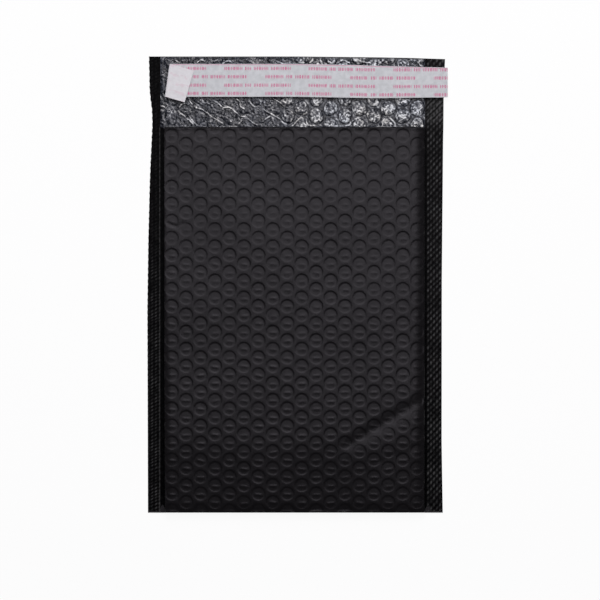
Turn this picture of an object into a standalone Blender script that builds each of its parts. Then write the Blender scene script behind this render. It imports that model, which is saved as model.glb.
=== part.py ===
"""Padded envelope: an empty bubble-lined film mailer, lying on its back with its flap open.

Metres, +Z up, +Y towards the flap. The origin is under the middle of the whole part.
One web of black film is folded at the bottom and welded to itself along both sides. A web of
clear bubble film lines it, and a release liner covers the glue on the inside of the flap.
"""

import math

import bmesh
import bpy
from mathutils import Vector
from mathutils.geometry import delaunay_2d_cdt

# The envelope, seen from above
ENVELOPE_WIDTH = 0.200
POCKET_LENGTH = 0.2614
FLAP_LENGTH = 0.0479
LEFT_SEAL = 0.0088
RIGHT_SEAL = 0.0100

# Film wall, as it lies under a bubble's recess and as deep as that recess
FILM_UNDER_RECESS = 0.0003
RECESS_DEPTH = 0.0005
CLEARANCE = 0.0003

# Pillow: what fills the envelope between its two films
PAD_THICKNESS = 0.0024
POCKET_GAP = 0.0046
LINING_EDGE = 0.0034
POCKET_INSET = 0.0030
LEFT_RISE = 0.0060
RIGHT_RISE = 0.0110
FOLD_RISE = 0.0090
FOLD_ROUNDING = 0.0012
SETTLE_DEPTH = 0.0018
SETTLE_LENGTH = 0.0450

# Bubble lattice: columns run from the fold to the flap, every other one moved half a row
BUBBLE_RADIUS = 0.0049
ROW_LAND = 0.0018
COLUMN_RATIO = 0.846
CUT_EDGE_TO_ROW = 0.0058
BUBBLE_MARGIN = 0.0010
FLAP_SHEET = 0.0010
DOME_HEIGHT = 0.0014
DOME_TOP_RADIUS = 0.0032

# Glue and release liner on the flap
LINER_WIDTH = 0.0220
LINER_LENGTH = 0.2044
LINER_THICKNESS = 0.0003
LINER_OVERHANG = 0.0025
LINER_TO_FLAP_END = 0.0054
TAB_LENGTH = 0.0151
TAB_FOLD_ANGLE = math.radians(8.1)
GLUE_WIDTH = 0.0160
GLUE_THICKNESS = 0.0003
GLUE_END_INSET = 0.0200

# How finely the shapes are divided
FRONT_RECESS_SIDES = 6
BACK_RECESS_SIDES = 4
DOME_SIDES = 8
RISE_SHARES = (0.12, 0.32, 0.6, 1.0)
SETTLE_STEP = 0.0125
LONG_STEP = 0.045
EDGE_STEP = 0.0155
TAB_FOLD_STEPS = 4
WELD = 0.000001

# Derived sizes
FILM = FILM_UNDER_RECESS + RECESS_DEPTH
CAVITY_EDGE = LINING_EDGE + 2 * CLEARANCE
CAVITY_HEIGHT = 2 * PAD_THICKNESS + POCKET_GAP + 2 * CLEARANCE
ROW_PITCH = 2 * BUBBLE_RADIUS + ROW_LAND
COLUMN_PITCH = ROW_PITCH * COLUMN_RATIO

# Derived places
FILM_LEFT = -(ENVELOPE_WIDTH + LINER_OVERHANG) / 2
FILM_RIGHT = FILM_LEFT + ENVELOPE_WIDTH
FOLD_Y = -(POCKET_LENGTH + FLAP_LENGTH) / 2
MOUTH_Y = FOLD_Y + POCKET_LENGTH
FLAP_END_Y = MOUTH_Y + FLAP_LENGTH
SEAL_EDGE_LEFT = FILM_LEFT + LEFT_SEAL
SEAL_EDGE_RIGHT = FILM_RIGHT - RIGHT_SEAL
CAVITY_LEFT = SEAL_EDGE_LEFT + FILM
CAVITY_RIGHT = SEAL_EDGE_RIGHT - FILM
CAVITY_FOLD = FOLD_Y + FILM
LINING_UNDERSIDE = FILM + CLEARANCE
LINING_EDGE_TOP = LINING_UNDERSIDE + LINING_EDGE
FLAP_SHEET_TOP = LINING_UNDERSIDE + FLAP_SHEET
POCKET_BORDER = CLEARANCE + POCKET_INSET
GLUE_UNDERSIDE = FLAP_SHEET_TOP + DOME_HEIGHT + CLEARANCE
LINER_UNDERSIDE = GLUE_UNDERSIDE + GLUE_THICKNESS + CLEARANCE
LINER_MIDDLE_Y = FLAP_END_Y - LINER_TO_FLAP_END - LINER_WIDTH / 2
LINER_RIGHT = FILM_RIGHT + LINER_OVERHANG


def clear_scene():
    """Removes whatever the file opened with."""
    for item in list(bpy.data.objects):
        bpy.data.objects.remove(item, do_unlink=True)


def make_material(name, color, roughness, metallic=0.0):
    """Gives a Principled material of one colour."""
    material = bpy.data.materials.new(name)
    material.use_nodes = True
    shader = material.node_tree.nodes["Principled BSDF"]
    shader.inputs["Base Color"].default_value = (*color, 1.0)
    shader.inputs["Roughness"].default_value = roughness
    shader.inputs["Metallic"].default_value = metallic
    return material


def add_part(name, bm, material):
    """Welds the faces gathered in bm into one closed body and puts it in the scene."""
    bmesh.ops.remove_doubles(bm, verts=bm.verts, dist=WELD)
    bmesh.ops.triangulate(bm, faces=bm.faces)
    bmesh.ops.recalc_face_normals(bm, faces=bm.faces)
    mesh = bpy.data.meshes.new(name)
    bm.to_mesh(mesh)
    bm.free()
    mesh.materials.append(material)
    part = bpy.data.objects.new(name, mesh)
    bpy.context.scene.collection.objects.link(part)
    return part


def fill(bm, border, inside=(), seams=(), axes=(0, 1)):
    """Fills a border with triangles through the inside points, as seen along the third axis."""
    points = list(border) + list(inside)
    start = len(border)
    flat = [Vector((point[axes[0]], point[axes[1]])) for point in points]
    edges = [(i, (i + 1) % start) for i in range(start)]
    edges += [(start + a, start + b) for a, b in seams]
    _, _, faces, sources, _, _ = delaunay_2d_cdt(flat, edges, [], 1, WELD)
    verts = [bm.verts.new(points[source[0]]) for source in sources]
    for face in faces:
        bm.faces.new([verts[i] for i in face])


def fill_grid(bm, columns, rows, height):
    """Lays a sheet of quads over a grid of places, at the height of each."""
    verts = [[bm.verts.new((x, y, height(x, y))) for x in columns] for y in rows]
    for low, high in zip(verts, verts[1:]):
        for i in range(len(columns) - 1):
            bm.faces.new((low[i], low[i + 1], high[i + 1], high[i]))


def fill_wall(bm, low, high):
    """Joins two lines that have as many points each with a wall of quads."""
    low_verts = [bm.verts.new(point) for point in low]
    high_verts = [bm.verts.new(point) for point in high]
    for i in range(len(low) - 1):
        bm.faces.new((low_verts[i], low_verts[i + 1], high_verts[i + 1], high_verts[i]))


def even_steps(low, high, step):
    """Gives places from low to high, no further apart than step."""
    count = max(1, math.ceil((high - low) / step))
    return [low + (high - low) * i / count for i in range(count + 1)]


def rise(distance, length):
    """Climbs from 0 to 1 over a length, steep at first and level at its end."""
    share = min(max(distance / length, 0.0), 1.0)
    return 1 - (1 - share) ** 2


def pillow(x, y, border):
    """Gives the share of the full height at a place, from a border inside the seals and fold."""
    left = rise(x - CAVITY_LEFT - border, LEFT_RISE)
    right = rise(CAVITY_RIGHT - border - x, RIGHT_RISE)
    return left * right * rise(y - CAVITY_FOLD - border, FOLD_RISE)


def settled(height, y):
    """Lowers a full height towards the fold, where the film holds the padding down."""
    return height - SETTLE_DEPTH * (1 - rise(y - CAVITY_FOLD, SETTLE_LENGTH))


def ceiling(x, y):
    """Gives the underside of the front film."""
    return FILM + CAVITY_EDGE + settled(CAVITY_HEIGHT - CAVITY_EDGE, y) * pillow(x, y, 0.0)


def front_skin(x, y):
    """Gives the upper side of the front film, seals and fold included."""
    if x <= SEAL_EDGE_LEFT or x >= SEAL_EDGE_RIGHT:
        return FILM
    top = ceiling(min(max(x, CAVITY_LEFT), CAVITY_RIGHT), y) + FILM
    return top - FOLD_ROUNDING if y < CAVITY_FOLD else top


def pad_top(x, y):
    """Gives the upper side of the lining's front layer."""
    return LINING_EDGE_TOP + settled(CAVITY_HEIGHT - CAVITY_EDGE, y) * pillow(x, y, CLEARANCE)


def pocket_gap(x, y):
    """Gives the air between the lining's two layers."""
    return settled(POCKET_GAP, y) * pillow(x, y, POCKET_BORDER)


def pocket_floor(x, y):
    """Gives the upper side of the lining's back layer."""
    return (LINING_UNDERSIDE + pad_top(x, y) - pocket_gap(x, y)) / 2


def pocket_ceiling(x, y):
    """Gives the underside of the lining's front layer."""
    return pocket_floor(x, y) + pocket_gap(x, y)


def cavity_columns(border):
    """Gives the places across the envelope where its pillow is divided."""
    left = CAVITY_LEFT + border
    right = CAVITY_RIGHT - border
    rising = [left] + [left + share * LEFT_RISE for share in RISE_SHARES]
    falling = [right - share * RIGHT_RISE for share in reversed(RISE_SHARES)] + [right]
    level = even_steps(rising[-1], falling[0], LONG_STEP)
    return rising + level[1:-1] + falling


def cavity_rows(border):
    """Gives the places along the envelope where its pillow is divided, fold to mouth."""
    low = CAVITY_FOLD + border
    rising = [low] + [low + share * FOLD_RISE for share in RISE_SHARES]
    settling = even_steps(rising[-1], CAVITY_FOLD + SETTLE_LENGTH, SETTLE_STEP)[1:]
    return rising + settling + even_steps(settling[-1], MOUTH_Y, LONG_STEP)[1:]


def bubble_columns():
    """Gives the x of each column of bubbles, centred between the seals."""
    room = CAVITY_RIGHT - CAVITY_LEFT - 2 * BUBBLE_RADIUS
    count = int(room / COLUMN_PITCH) + 1
    middle = (CAVITY_LEFT + CAVITY_RIGHT) / 2
    return [middle + (i - (count - 1) / 2) * COLUMN_PITCH for i in range(count)]


def bubble_centres(cut_edge, end):
    """Gives the bubbles from a cut edge of the web down to an end that they keep clear of."""
    centres = []
    for index, x in enumerate(bubble_columns()):
        y = cut_edge - CUT_EDGE_TO_ROW - (index % 2) * ROW_PITCH / 2
        while y - BUBBLE_RADIUS - BUBBLE_MARGIN > end:
            centres.append((x, y))
            y -= ROW_PITCH
    return centres


def ring(centre, radius, sides, height, turn=0.0):
    """Gives the corners of a level polygon, or of one that follows a surface."""
    points = []
    for i in range(sides):
        angle = turn + math.tau * i / sides
        x = centre[0] + radius * math.cos(angle)
        y = centre[1] + radius * math.sin(angle)
        points.append(Vector((x, y, height(x, y))))
    return points


def ring_seams(start, sides):
    """Gives the edges of a ring whose first corner has the number start."""
    return [(start + i, start + (i + 1) % sides) for i in range(sides)]


def recesses(centres, sides, surface, depth):
    """Gives the points and edges of round recesses pressed into a surface."""
    points = []
    seams = []
    for centre in centres:
        seams += ring_seams(len(points), sides)
        points += ring(centre, BUBBLE_RADIUS, sides, surface)
        points.append(Vector((*centre, surface(*centre) - depth)))
    return points, seams


def domes(centres, base):
    """Gives the points and edges of the air bubbles standing on a level sheet."""
    points = []
    seams = []
    turn = math.pi / DOME_SIDES
    for centre in centres:
        seams += ring_seams(len(points), DOME_SIDES)
        points += ring(centre, BUBBLE_RADIUS, DOME_SIDES, lambda x, y: base, turn)
        seams += ring_seams(len(points), DOME_SIDES)
        points += ring(centre, DOME_TOP_RADIUS, DOME_SIDES, lambda x, y: base + DOME_HEIGHT, turn)
    return points, seams


def lift(places, height):
    """Raises places in the plane to a height, given as a number or as a function."""
    if callable(height):
        return [Vector((x, y, height(x, y))) for x, y in places]
    return [Vector((x, y, height)) for x, y in places]


def seal_lines(rows):
    """Gives the lines beside the seals where the front film starts to climb, as points and edges."""
    points = []
    seams = []
    for x in (SEAL_EDGE_LEFT, CAVITY_LEFT, CAVITY_RIGHT, SEAL_EDGE_RIGHT):
        line = lift([(x, y) for y in rows], front_skin)
        seams += [(len(points) + i, len(points) + i + 1) for i in range(len(line) - 1)]
        points += line
    return points, seams


def film_sides():
    """Gives the outline's divisions: across the fold, up the pocket and up the flap."""
    across = [FILM_LEFT, SEAL_EDGE_LEFT] + cavity_columns(0.0) + [SEAL_EDGE_RIGHT, FILM_RIGHT]
    pocket = even_steps(FOLD_Y, MOUTH_Y, EDGE_STEP)
    flap = even_steps(MOUTH_Y, FLAP_END_Y, EDGE_STEP)
    return across, pocket, flap


def film_back(bm, across, up):
    """The back film's outer face, from the fold to the end of the flap."""
    border = [(x, FOLD_Y) for x in across]
    border += [(FILM_RIGHT, y) for y in up[1:]]
    border += [(FILM_LEFT, y) for y in reversed(up[1:])]
    centres = bubble_centres(FLAP_END_Y, FOLD_Y)
    points, seams = recesses(centres, BACK_RECESS_SIDES, lambda x, y: 0.0, -RECESS_DEPTH)
    fill(bm, lift(border, 0.0), points, seams)


def film_front(bm, across, pocket):
    """The front film's outer face, from the fold to the mouth."""
    border = [(x, FOLD_Y) for x in across]
    border += [(FILM_RIGHT, y) for y in pocket[1:-1]]
    border += [(x, MOUTH_Y) for x in reversed(across)]
    border += [(FILM_LEFT, y) for y in reversed(pocket[1:-1])]
    centres = bubble_centres(MOUTH_Y, FOLD_Y)
    points, seams = recesses(centres, FRONT_RECESS_SIDES, front_skin, RECESS_DEPTH)
    line_points, line_seams = seal_lines([FOLD_Y, CAVITY_FOLD] + pocket[1:])
    seams += [(len(points) + a, len(points) + b) for a, b in line_seams]
    points += line_points
    points += lift([(x, CAVITY_FOLD) for x in cavity_columns(0.0)[1:-1]], front_skin)
    fill(bm, lift(border, front_skin), points, seams)


def film_inside(bm, flap):
    """The film's inner faces: round the cavity, and on over the flap."""
    columns = cavity_columns(0.0)
    rows = cavity_rows(0.0)
    fill_grid(bm, columns, rows, ceiling)
    for x in (CAVITY_LEFT, CAVITY_RIGHT):
        line = [(x, y) for y in rows]
        fill_wall(bm, lift(line, FILM), lift(line, ceiling))
    line = [(x, CAVITY_FOLD) for x in columns]
    fill_wall(bm, lift(line, FILM), lift(line, ceiling))
    border = line + [(CAVITY_RIGHT, y) for y in rows[1:]]
    border += [(SEAL_EDGE_RIGHT, MOUTH_Y)]
    border += [(FILM_RIGHT, y) for y in flap]
    border += [(FILM_LEFT, y) for y in reversed(flap)]
    border += [(SEAL_EDGE_LEFT, MOUTH_Y)]
    border += [(CAVITY_LEFT, y) for y in reversed(rows[1:])]
    fill(bm, lift(border, FILM))


def film_mouth(bm, across):
    """The cut edge of the front film at the pocket's mouth."""
    columns = cavity_columns(0.0)
    border = lift([(x, MOUTH_Y) for x in across[1:-1]], front_skin)
    border += lift([(CAVITY_RIGHT, MOUTH_Y)], FILM)
    border += lift([(x, MOUTH_Y) for x in reversed(columns)], ceiling)
    border += lift([(CAVITY_LEFT, MOUTH_Y)], FILM)
    fill(bm, border, axes=(0, 2))


def make_outer_film():
    """The black film: back, flap and front in one web, welded to itself along both sides."""
    bm = bmesh.new()
    across, pocket, flap = film_sides()
    up = pocket + flap[1:]
    film_back(bm, across, up)
    film_front(bm, across, pocket)
    film_inside(bm, flap)
    film_mouth(bm, across)
    for x in (FILM_LEFT, FILM_RIGHT):
        line = [(x, y) for y in up]
        fill_wall(bm, lift(line, 0.0), lift(line, FILM))
    line = [(x, FOLD_Y) for x in across]
    fill_wall(bm, lift(line, 0.0), lift(line, front_skin))
    line = [(FILM_LEFT, FLAP_END_Y), (FILM_RIGHT, FLAP_END_Y)]
    fill_wall(bm, lift(line, 0.0), lift(line, FILM))
    material = make_material("black_film", (0.018, 0.017, 0.019), 0.42)
    return add_part("outer_film", bm, material)


def lining_pocket(bm, columns, rows):
    """The pocket between the lining's layers, and the cut edges round its mouth."""
    inner_columns = cavity_columns(POCKET_BORDER)
    inner_rows = cavity_rows(POCKET_BORDER)
    fill_grid(bm, columns, rows, pad_top)
    fill_grid(bm, inner_columns, inner_rows, pocket_ceiling)
    fill_grid(bm, inner_columns, inner_rows, pocket_floor)
    outer_line = [(x, MOUTH_Y) for x in columns]
    inner_line = [(x, MOUTH_Y) for x in reversed(inner_columns)]
    front_edge = lift(outer_line, pad_top) + lift(inner_line, pocket_ceiling)
    front_edge = lift(outer_line[:1], FLAP_SHEET_TOP) + front_edge
    front_edge.insert(len(outer_line) + 1, lift(outer_line[-1:], FLAP_SHEET_TOP)[0])
    back_edge = lift(outer_line, FLAP_SHEET_TOP) + lift(inner_line, pocket_floor)
    fill(bm, front_edge, axes=(0, 2))
    fill(bm, back_edge, axes=(0, 2))


def lining_flap(bm, columns, flap):
    """The lining's bubbles on the inside of the flap."""
    border = [(x, MOUTH_Y) for x in columns]
    border += [(columns[-1], y) for y in flap[1:]]
    border += [(columns[0], y) for y in reversed(flap[1:])]
    points, seams = domes(bubble_centres(FLAP_END_Y, MOUTH_Y), FLAP_SHEET_TOP)
    fill(bm, lift(border, FLAP_SHEET_TOP), points, seams)


def make_bubble_lining():
    """The clear bubble film: back layer, flap and front layer in one web, welded at its sides."""
    bm = bmesh.new()
    columns = cavity_columns(CLEARANCE)
    rows = cavity_rows(CLEARANCE)
    flap = even_steps(MOUTH_Y, FLAP_END_Y, EDGE_STEP)
    up = rows + flap[1:]
    lining_pocket(bm, columns, rows)
    lining_flap(bm, columns, flap)
    fold_line = [(x, rows[0]) for x in columns]
    end_line = [(columns[0], FLAP_END_Y), (columns[-1], FLAP_END_Y)]
    right_line = [(columns[-1], y) for y in up]
    left_line = [(columns[0], y) for y in up]
    for line in (fold_line, end_line, right_line, left_line):
        fill_wall(bm, lift(line, LINING_UNDERSIDE), lift(line, FLAP_SHEET_TOP))
    for line in (fold_line, right_line[:len(rows)], left_line[:len(rows)]):
        fill_wall(bm, lift(line, FLAP_SHEET_TOP), lift(line, LINING_EDGE_TOP))
    border = fold_line + right_line[1:] + left_line[:0:-1]
    fill(bm, lift(border, LINING_UNDERSIDE))
    material = make_material("bubble_film", (0.36, 0.37, 0.38), 0.15)
    return add_part("bubble_lining", bm, material)


def make_adhesive_strip():
    """The band of glue along the flap, hidden under the release liner."""
    left = FILM_LEFT + GLUE_END_INSET
    right = FILM_RIGHT - GLUE_END_INSET
    middle = Vector(((left + right) / 2, LINER_MIDDLE_Y, GLUE_UNDERSIDE + GLUE_THICKNESS / 2))
    bm = bmesh.new()
    bmesh.ops.create_cube(bm, size=1.0)
    bmesh.ops.scale(bm, vec=(right - left, GLUE_WIDTH, GLUE_THICKNESS), verts=bm.verts)
    bmesh.ops.translate(bm, vec=middle, verts=bm.verts)
    material = make_material("hot_melt_glue", (0.62, 0.56, 0.42), 0.35)
    return add_part("adhesive_strip", bm, material)


def liner_rows():
    """Gives the lines across the liner, from its right end round the fold to the end of its tab.

    Each row has the liner's lower edge, its upper edge and the way its face looks there.
    """
    half = LINER_WIDTH / 2
    fold_x = LINER_RIGHT - (LINER_LENGTH - TAB_LENGTH)
    lean = half * math.tan(TAB_FOLD_ANGLE)
    along = Vector((math.sin(TAB_FOLD_ANGLE), math.cos(TAB_FOLD_ANGLE), 0.0))
    outward = Vector((-math.cos(TAB_FOLD_ANGLE), math.sin(TAB_FOLD_ANGLE), 0.0))
    up = Vector((0.0, 0.0, 1.0))
    level = LINER_UNDERSIDE + LINER_THICKNESS / 2
    low = Vector((fold_x - lean, LINER_MIDDLE_Y - half, level))
    high = Vector((fold_x + lean, LINER_MIDDLE_Y + half, level))
    rows = [(Vector((LINER_RIGHT, low.y, level)), Vector((LINER_RIGHT, high.y, level)), up)]
    radius = (LINER_THICKNESS + CLEARANCE) / 2
    for i in range(TAB_FOLD_STEPS + 1):
        angle = math.pi * i / TAB_FOLD_STEPS
        shift = radius * (outward * math.sin(angle) + up * (1 - math.cos(angle)))
        rows.append((low + shift, high + shift, up * math.cos(angle) - outward * math.sin(angle)))
    free_end_x = fold_x - TAB_LENGTH
    rows.append(tuple(mirrored(Vector((free_end_x, y, level)), low, along, 2 * radius)
                      for y in (low.y, high.y)) + (-up,))
    return rows


def mirrored(point, on_line, along, raised):
    """Turns a point over a line in its own level and raises it."""
    offset = point - on_line
    return on_line + 2 * along * offset.dot(along) - offset + Vector((0.0, 0.0, raised))


def make_release_liner():
    """The liner strip, longer than the flap is wide, with its left end folded back as a tab."""
    bm = bmesh.new()
    sections = []
    for low, high, facing in liner_rows():
        step = facing * LINER_THICKNESS / 2
        corners = (low - step, high - step, high + step, low + step)
        sections.append([bm.verts.new(corner) for corner in corners])
    for first, second in zip(sections, sections[1:]):
        for i in range(4):
            bm.faces.new((first[i], first[(i + 1) % 4], second[(i + 1) % 4], second[i]))
    bm.faces.new(sections[0])
    bm.faces.new(sections[-1])
    material = make_material("liner_paper", (0.58, 0.62, 0.63), 0.45)
    return add_part("release_liner", bm, material)


def main():
    clear_scene()
    make_outer_film()
    make_bubble_lining()
    make_adhesive_strip()
    make_release_liner()


main()
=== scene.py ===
"""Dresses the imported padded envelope: black bubble mailer, open flap, peel-off liner.

Metres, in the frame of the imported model: +Z up, +Y towards the flap.
"""

import math
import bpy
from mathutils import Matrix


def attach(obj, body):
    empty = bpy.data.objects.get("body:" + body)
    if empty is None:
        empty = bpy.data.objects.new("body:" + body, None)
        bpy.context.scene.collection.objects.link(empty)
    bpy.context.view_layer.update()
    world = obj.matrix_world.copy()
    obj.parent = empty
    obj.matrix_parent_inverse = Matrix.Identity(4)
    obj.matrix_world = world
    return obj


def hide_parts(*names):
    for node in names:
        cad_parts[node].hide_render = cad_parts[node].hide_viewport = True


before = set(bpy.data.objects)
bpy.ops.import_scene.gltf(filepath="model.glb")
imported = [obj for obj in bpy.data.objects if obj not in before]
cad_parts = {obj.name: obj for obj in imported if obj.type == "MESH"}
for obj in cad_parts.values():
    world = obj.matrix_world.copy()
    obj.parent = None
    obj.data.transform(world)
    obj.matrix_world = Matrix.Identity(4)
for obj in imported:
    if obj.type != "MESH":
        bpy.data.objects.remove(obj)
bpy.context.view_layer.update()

from types import SimpleNamespace

import bpy
import numpy as np
from mathutils import Vector
from mathutils.geometry import delaunay_2d_cdt

MM = 0.001

# The photograph's frame on the plane that the envelope lies on, in mm
FRAME_SIDE = 407.4
FRAME_CENTRE = (2.1, -10.7)
CAMERA_HEIGHT = 1700.0
PIXEL = FRAME_SIDE / 600

# Outline, in mm
FRONT_RIGHT = 86.7
GROOVE_LEFT = -92.6
GROOVE_RIGHT = 88.2
FOLD = -155.05
MOUTH = 106.1
FLAP_END = 154.65
LINING_LEFT = -92.6
LINING_RIGHT = 86.9

# The front panel sinks towards the fold: where that starts, and over how many mm it bends
SETTLE_START = -101.0
SETTLE_EASE = 16.0
SETTLE_SLOPE = 0.085

# Levels over the plane that the envelope lies on, in mm
FRONT_TOP = 11.5
SEAM_LEVEL = 0.75
BACK_TOP = 0.42
SEAL_UNDER = 0.43
SEAL_TOP = 0.60
LINING_UNDER = 0.46
LINING_RIM = 0.75
LINING_TOP = 1.3

# Levels on which pixels of the photograph are placed, in mm
EDGE_LEVEL = 0.4
FLAP_LEVEL = 3.0
CREASE_LEVEL = 10
FRONT_LEVEL = 11.0

# Lower and upper side of the release liner, in mm: it lies lower at its right end, and tapers
LINER_LOW = 126.95
LINER_HIGH = 149.2
LINER_SAG = 0.9
LINER_TAPER = 1.6

# Bubbles: their radius in mm, and their lattice in pixels of the photograph
BUBBLE_RADIUS = 4.9
COLUMNS = 18
FIRST_COLUMN = 171.6
COLUMN_STEP = 14.45
ROW_STEP = 17.06

# Crimping along both sides, in mm
CRIMP_PITCH = 4.25

RANDOM = np.random.default_rng(20)
SEGMENTS = 24


def seen(column, row, level):
    """Turns a pixel of the photograph into x and y in mm on a given level."""
    scale = PIXEL * (1 - level / CAMERA_HEIGHT)
    return FRAME_CENTRE[0] + (column - 300) * scale, FRAME_CENTRE[1] + (300 - row) * scale


def ease(t):
    """Eases from 0 to 1."""
    t = np.clip(t, 0.0, 1.0)
    return t * t * (3 - 2 * t)


def bell(t):
    """A bump of height 1 at 0."""
    return np.exp(-t * t)


def waves(count, shortest, longest, lean=None, spread=math.pi):
    """Gives a smooth random field of about unit size, made of plane waves."""
    size = np.exp(RANDOM.uniform(math.log(shortest), math.log(longest), count))
    middle = RANDOM.uniform(0, math.pi) if lean is None else lean
    angle = middle + RANDOM.uniform(-spread / 2, spread / 2, count)
    phase = RANDOM.uniform(0, math.tau, count)
    kx = math.tau * np.cos(angle) / size
    ky = math.tau * np.sin(angle) / size

    def field(x, y):
        total = np.zeros_like(x)
        for i in range(count):
            total += np.sin(kx[i] * x + ky[i] * y + phase[i])
        return total * math.sqrt(2 / count)
    return field


def creases(count, shortest, longest, lean, spread, warp):
    """Gives a field of sharp folds like those of crumpled film, about unit size."""
    size = np.exp(RANDOM.uniform(math.log(shortest), math.log(longest), count))
    angle = lean + RANDOM.uniform(-spread / 2, spread / 2, count)
    phase = RANDOM.uniform(0, 1, count)
    bends = [waves(5, 2.5 * shortest, 3 * longest) for _ in range(count)]

    def field(x, y):
        total = np.zeros_like(x)
        for i in range(count):
            t = (np.cos(angle[i]) * x + np.sin(angle[i]) * y) / size[i] + phase[i]
            t = t + warp * bends[i](x, y)
            total += size[i] * (2 * np.abs(t - np.round(t)) - 0.5)
        return total / size.sum() * math.sqrt(count)
    return field


def shoulder(distance, wall, share, length):
    """Climbs from 0 to 1: a steep wall up to a share, then a rounded shoulder."""
    low = np.clip(distance / wall, 0.0, 1.0)
    high = np.clip((distance - wall) / length, 0.0, 1.0)
    return share * (1 - (1 - low) ** 1.2) + (1 - share) * (1 - (1 - high) ** 2)


def edge_line(points):
    """Gives the edge's x as a function of y, from pixels of the photograph."""
    places = sorted(seen(column, row, EDGE_LEVEL)[::-1] for row, column in points)
    ys = np.array([place[0] for place in places])
    xs = np.array([place[1] for place in places])
    return lambda y: np.interp(y, ys, xs)


left_cut = edge_line(
    [(56, 149), (90, 149.7), (100, 150.7), (110, 152), (124, 152.4), (140, 151.7), (160, 150.7),
     (180, 149.9), (200, 149.4), (240, 148.4), (310, 147.4), (400, 147.7), (513, 148)])
right_edge = edge_line(
    [(59, 445), (98, 443.6), (127, 443.4), (140, 443.1), (280, 441.8), (440, 441.6), (511, 442.7)])


def left_edge(y):
    """Gives the x of the left cut edge, with the small waves of the crimped film."""
    wave = 0.13 * np.cos(math.tau * y / CRIMP_PITCH) + 0.08 * np.cos(math.tau * y / 1.9)
    return left_cut(y) + wave * ease((y + 170) / 250)


def front_left(y):
    """Gives the x of the foot of the front panel's left wall."""
    return np.interp(y, [-150, -40, 100], [-89.6, -89.9, -90.0])


def flap_end(x):
    """Gives the y of the flap's cut end."""
    return np.interp(x, [-101, 2, 57, 77, 91, 101], [154.6, 154.6, 154.0, 153.6, 153.1, 152.8])


def lattice(level, first_even, first_odd, count):
    """Gives bubble centres: columns of even number start on one row, odd ones on another."""
    centres = []
    for k in range(COLUMNS):
        first = first_odd if k % 2 else first_even
        centres += [seen(FIRST_COLUMN + COLUMN_STEP * k, first + ROW_STEP * j, level)
                    for j in range(count)]
    return np.array(centres)


class Sheet:
    """Gathers the plan of a sheet: a border, loose points, and rings round its bubbles."""

    def __init__(self, border, limit=None, segments=4, radii=(1.0,)):
        self.border = [tuple(point) for point in border]
        xs, ys = zip(*self.border)
        self.box = min(xs), max(xs), min(ys), max(ys)
        self.points = []
        self.loose = []
        self.seams = []
        self.circles = []
        self.limit = limit
        self.segments = segments
        self.radii = radii

    def inside(self, x, y, margin):
        left, right, low, high = self.box
        return (left + margin < x < right - margin and low + margin < y < high - margin
                and (not self.limit or self.limit(x, y, margin)))

    def ring(self, centre, radius, turn=0.0):
        angles = turn + np.arange(self.segments) * math.tau / self.segments
        return [(centre[0] + radius * math.cos(a), centre[1] + radius * math.sin(a))
                for a in angles]

    def add_bubble(self, centre):
        """A bubble clear of the border gets rings; one that the border cuts gets loose points."""
        if self.inside(*centre, self.radii[0] + 0.12):
            start = len(self.points)
            self.points += self.ring(centre, self.radii[0])
            self.seams += [(start + i, start + (i + 1) % self.segments)
                           for i in range(self.segments)]
            self.circles.append((start, centre))
            return
        for radius in self.radii:
            self.add_points(self.ring(centre, radius, math.pi / self.segments), 0.15)
        self.add_points([centre], 0.15)

    def add_points(self, points, margin=0.05):
        self.loose += [tuple(point) for point in points if self.inside(*point, margin)]

    def add_grid(self, *box_and_step):
        self.add_points(grid_points(*box_and_step))

    def clear_points(self):
        """The loose points that keep clear of the rings."""
        if not self.circles or not self.loose:
            return self.loose
        centres = np.array([centre for _, centre in self.circles])
        flat = np.array(self.loose)
        _, dx, dy = nearest(flat[:, 0], flat[:, 1], centres)
        far = np.hypot(dx, dy) > self.radii[0] + 0.3
        return [point for point, kept in zip(self.loose, far) if kept]

    def plan(self):
        """Returns the places and triangles of the sheet, border first."""
        points = self.points + self.clear_points()
        places, faces = triangulate(self.border, points, self.seams)
        count = len(self.border)
        owner = {}
        for number, (start, _) in enumerate(self.circles):
            for i in range(self.segments):
                owner[count + start + i] = number
        faces = [face for face in faces
                 if owner.get(face[0], -1) < 0
                 or len({owner.get(i, -2) for i in face}) > 1]
        for start, centre in self.circles:
            outer = [count + start + i for i in range(self.segments)]
            for radius in self.radii[1:]:
                inner = list(range(len(places), len(places) + self.segments))
                places += self.ring(centre, radius)
                for i in range(self.segments):
                    j = (i + 1) % self.segments
                    faces.append((outer[i], outer[j], inner[j], inner[i]))
                outer = inner
            hub = len(places)
            places.append(tuple(centre))
            for i in range(self.segments):
                faces.append((outer[i], outer[(i + 1) % self.segments], hub))
        return places, faces


def triangulate(border, points, seams):
    """Fills a border with triangles through the points, in their given order."""
    count = len(border)
    flat = [Vector(point) for point in border] + [Vector(point) for point in points]
    edges = [(i, (i + 1) % count) for i in range(count)]
    edges += [(count + a, count + b) for a, b in seams]
    _, _, faces, sources, _, _ = delaunay_2d_cdt(flat, edges, [], 1, 1e-5)
    faces = [tuple(sources[i][0] for i in face) for face in faces]
    return [tuple(point) for point in flat], faces


def rectangle(left, right, low, high, step):
    """Gives a border with a point every step, anticlockwise from the lower left."""
    top = high if callable(high) else (lambda x: high)
    share = np.linspace(0, 1, int((right(0) - left(0)) / step) + 1)
    lower = [(left(low) + t * (right(low) - left(low)), low) for t in share]
    ends = [float(top(side(150.0))) for side in (left, right)]
    upper_x = left(ends[0]) + share * (right(ends[1]) - left(ends[0]))
    upper = [(x, float(top(x))) for x in upper_x]
    falling, rising = [[(side(y), y) for y in np.linspace(low, end, int((end - low) / step) + 1)]
                       for side, end in zip((left, right), ends)]
    return lower + rising[1:-1] + upper[::-1] + falling[-2:0:-1]


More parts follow.
